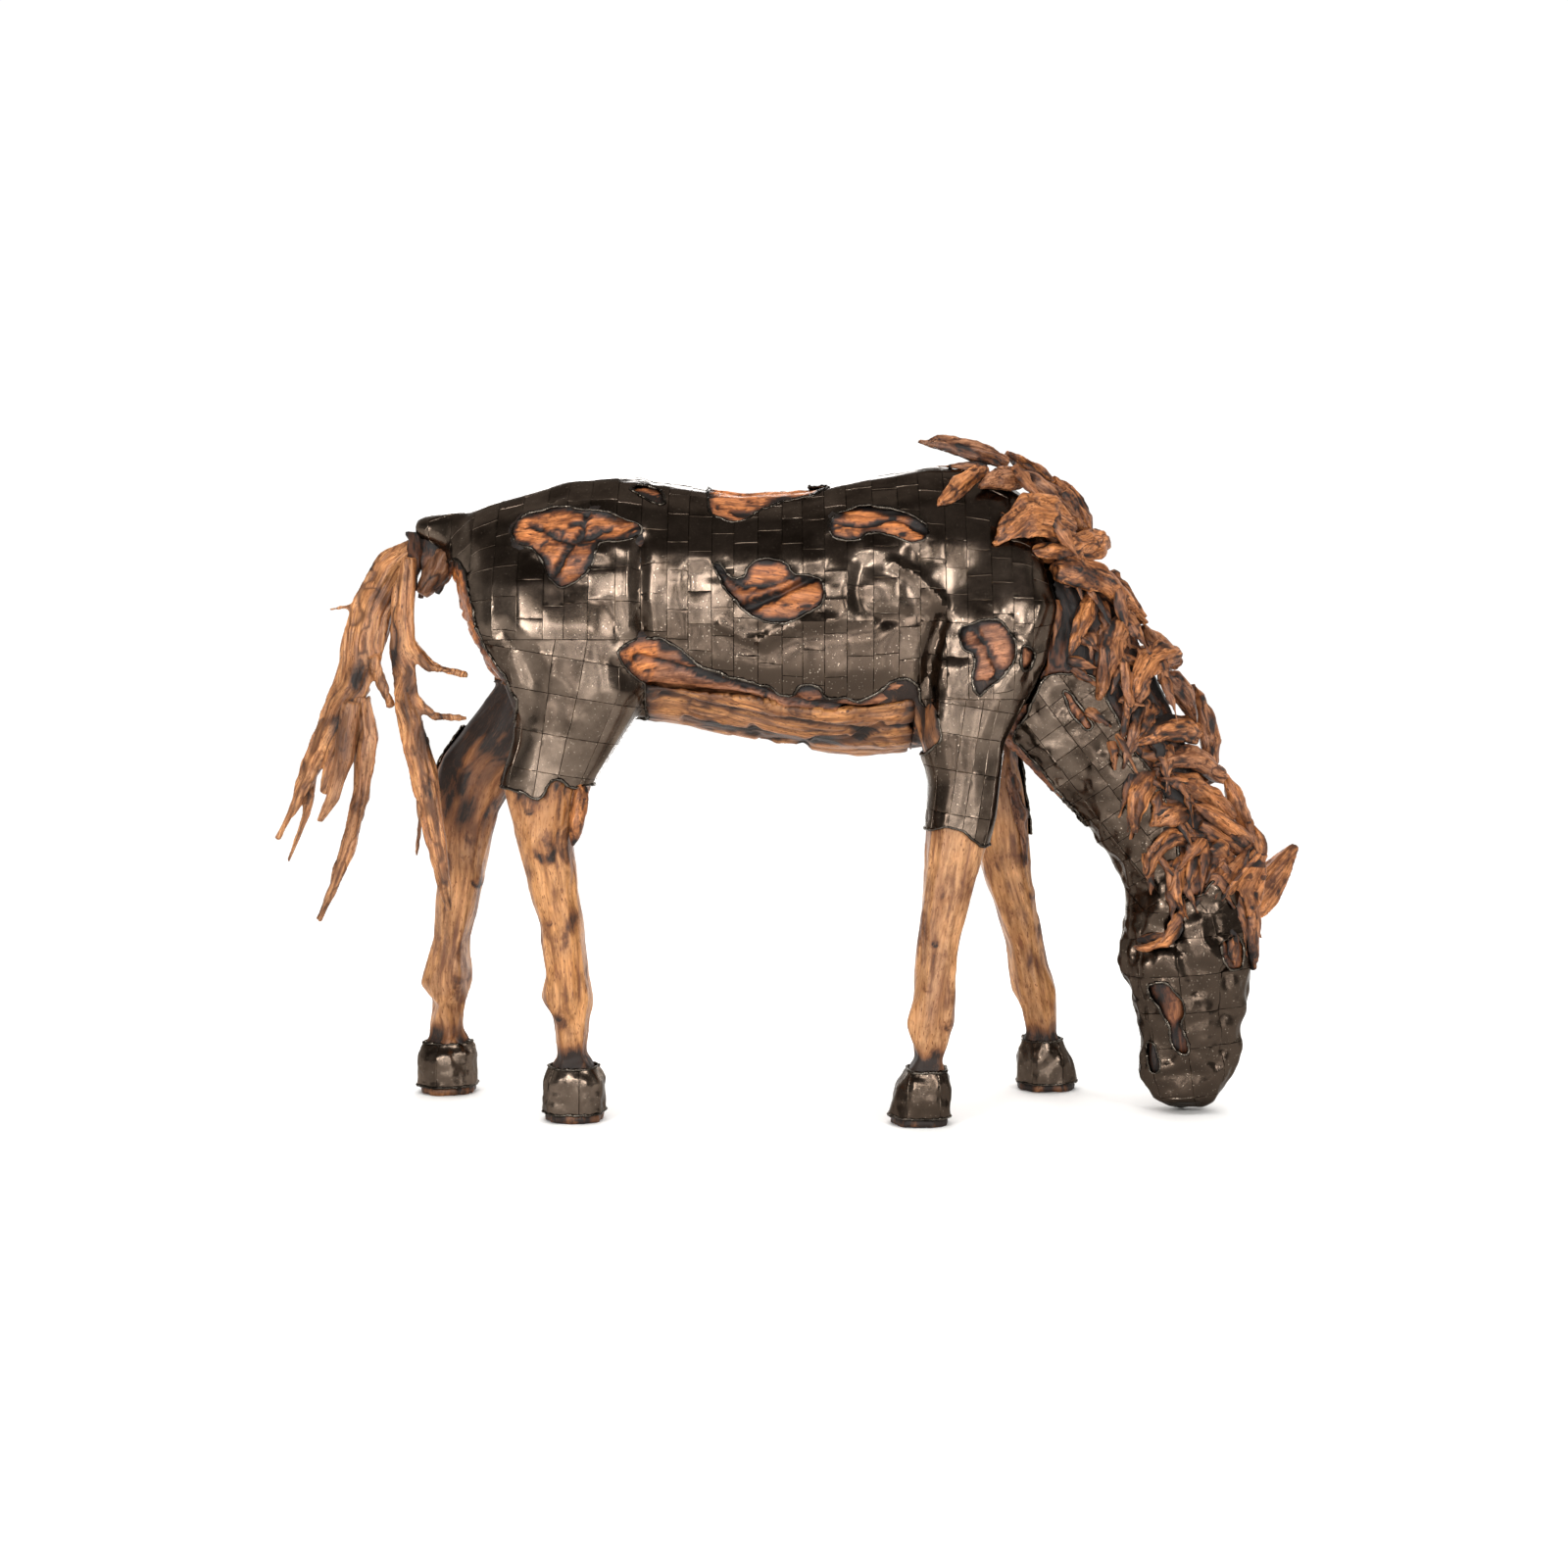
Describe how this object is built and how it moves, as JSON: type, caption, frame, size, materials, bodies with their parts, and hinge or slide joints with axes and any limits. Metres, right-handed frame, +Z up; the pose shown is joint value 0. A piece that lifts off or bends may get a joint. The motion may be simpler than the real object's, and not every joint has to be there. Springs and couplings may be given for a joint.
{
  "type": "grazing horse sculpture",
  "caption": "Life-size grazing horse of carved reclaimed wood, partly skinned with welded steel plates, with a shaggy carved mane and a driftwood tail. Stands on its hooves.",
  "frame": {"origin": "on the floor, under the middle of the figure's bounding box", "axes": "+X from the tail towards the head, +Y towards the horse's left side, +Z up"},
  "size_m": [2.376, 0.5496, 1.5252],
  "materials": {
    "body_wood": "burnt, brushed and oiled",
    "leg_wood": "smooth, oiled",
    "mane_wood": "rough carved, oiled",
    "steel": "dark, burnished, with weld beads"
  },
  "bodies": {
    "root": {"trunk": "body_wood", "belly_slab": "body_wood", "neck_and_head": "body_wood", "near_hind_leg": "leg_wood", "far_hind_leg": "leg_wood", "near_fore_leg": "leg_wood", "far_fore_leg": "leg_wood", "near_hind_hoof": "steel", "far_hind_hoof": "steel", "near_fore_hoof": "steel", "far_fore_hoof": "steel", "trunk_plating": "steel", "neck_plating": "steel", "face_plating": "steel", "tail_root": "body_wood", "tail_antler": "body_wood", "tail_main": "body_wood", "tail_long_whip": "body_wood", "tail_inner_shard": "body_wood", "tail_thin_twig": "body_wood", "near_ear": "leg_wood", "far_ear": "leg_wood", "thigh_splinter": "mane_wood", "foreleg_splint": "mane_wood", "forelock_cheek_strap": "mane_wood", "forelock_middle": "mane_wood", "forelock_temple": "mane_wood", "mane_withers_blade": "mane_wood", "mane_withers_drop": "mane_wood", "mane_withers_fold": "mane_wood", "mane_crest_ridge": "mane_wood", "mane_crest_spur": "mane_wood", "mane_crest_knuckle": "mane_wood", "mane_broad_leaf": "mane_wood", "mane_nape_slab": "mane_wood", "mane_long_slab": "mane_wood", "mane_hanging_lock": "mane_wood", "mane_antler": "mane_wood", "mane_outer_knot": "mane_wood", "mane_falling_prong": "mane_wood", "mane_side_slab": "mane_wood", "mane_long_drop": "mane_wood", "mane_broad_hook": "mane_wood", "mane_outer_horn": "mane_wood", "mane_cross_slab": "mane_wood", "mane_muzzle_lock": "mane_wood", "mane_slanting_slab": "mane_wood", "mane_long_splint": "mane_wood", "mane_outer_shard": "mane_wood", "mane_throat_leaf": "mane_wood", "mane_arched_lock": "mane_wood", "mane_curled_lock": "mane_wood", "mane_brow_slab": "mane_wood", "mane_far_shoulder": "mane_wood", "mane_far_nape": "mane_wood", "mane_far_middle": "mane_wood", "mane_far_poll": "mane_wood"}
  },
  "joints": []
}
